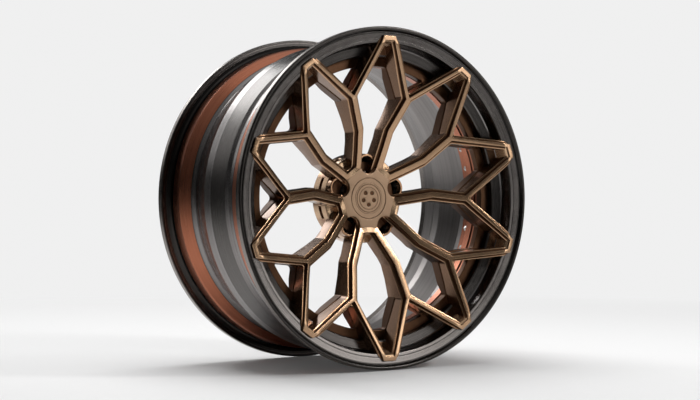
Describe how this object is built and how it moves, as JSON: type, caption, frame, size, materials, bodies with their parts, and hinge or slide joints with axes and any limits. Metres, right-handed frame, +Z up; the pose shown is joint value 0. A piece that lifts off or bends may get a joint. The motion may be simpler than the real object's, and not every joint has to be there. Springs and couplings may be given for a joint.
{
  "type": "forged three-piece racing wheel rim",
  "caption": "Deep multi-piece racing wheel rim with forked bronze spokes on a stepped dark lip and barrel, a stud-pocket hub, a snap-in centre cap and a tyre valve.",
  "frame": {"origin": "middle of the wheel: on the wheel axis, halfway between the two flanges", "axes": "+Y along the wheel axis towards the vehicle (the outboard face looks towards -Y), +Z up, valve at the bottom"},
  "size_m": [0.5986, 0.304, 0.5986],
  "materials": {
    "rim_dark": "brushed dark anodised with copper-toned bands",
    "center_bronze": "satin bronze",
    "emblem_bronze": "satin bronze",
    "bolt_steel": "zinc plated",
    "seat_steel": "black oxide",
    "rubber_black": "matte",
    "valve_metal": "satin",
    "core_brass": "machined",
    "valve_cap_plastic": "matte"
  },
  "bodies": {
    "rim": {"outer_lip": "rim_dark", "inner_barrel": "rim_dark", "rim_seal_ring": "rubber_black", "forged_center": "center_bronze", "assembly_bolts": "bolt_steel", "bolt_washers": "bolt_steel", "lug_seat_inserts": "seat_steel", "valve_stem": "valve_metal", "valve_grommet": "rubber_black", "valve_washer": "valve_metal", "valve_nut": "valve_metal", "valve_core_body": "core_brass", "valve_core_gasket": "rubber_black", "valve_core_spring": "bolt_steel"},
    "center_cap": {"cap_body": "center_bronze", "cap_emblem": "emblem_bronze", "cap_snap_ring": "bolt_steel", "cap_o_ring": "rubber_black"},
    "valve_cap_rise": {"valve_cap_seal": "rubber_black"},
    "valve_cap_screw": {"valve_cap": "valve_cap_plastic"},
    "valve_pin": {"valve_core_pin": "core_brass", "valve_core_seal": "rubber_black"}
  },
  "joints": [
    {"name": "center_cap_pull", "type": "slide", "parent": "rim", "child": "center_cap", "axis": [0, -1, 0], "range_m": [0, 0.03]},
    {"name": "valve_cap_travel", "type": "slide", "parent": "rim", "child": "valve_cap_rise", "axis": [0, 0, 1], "range_m": [0, 0.014]},
    {"name": "valve_cap_turn", "type": "hinge", "parent": "valve_cap_rise", "child": "valve_cap_screw", "pos_m": [0, -0.046, -0.24], "axis": [0, 0, 1], "range_deg": [0, 6300]},
    {"name": "valve_pin_press", "type": "slide", "parent": "rim", "child": "valve_pin", "axis": [0, 0, -1], "range_m": [0, 0.0015], "stiffness_N_per_m": 800, "deforming": ["valve_core_spring"]}
  ],
  "couplings": [
    {"joint": "valve_cap_turn", "follows": "valve_cap_travel", "rad_per_m": 7854}
  ]
}
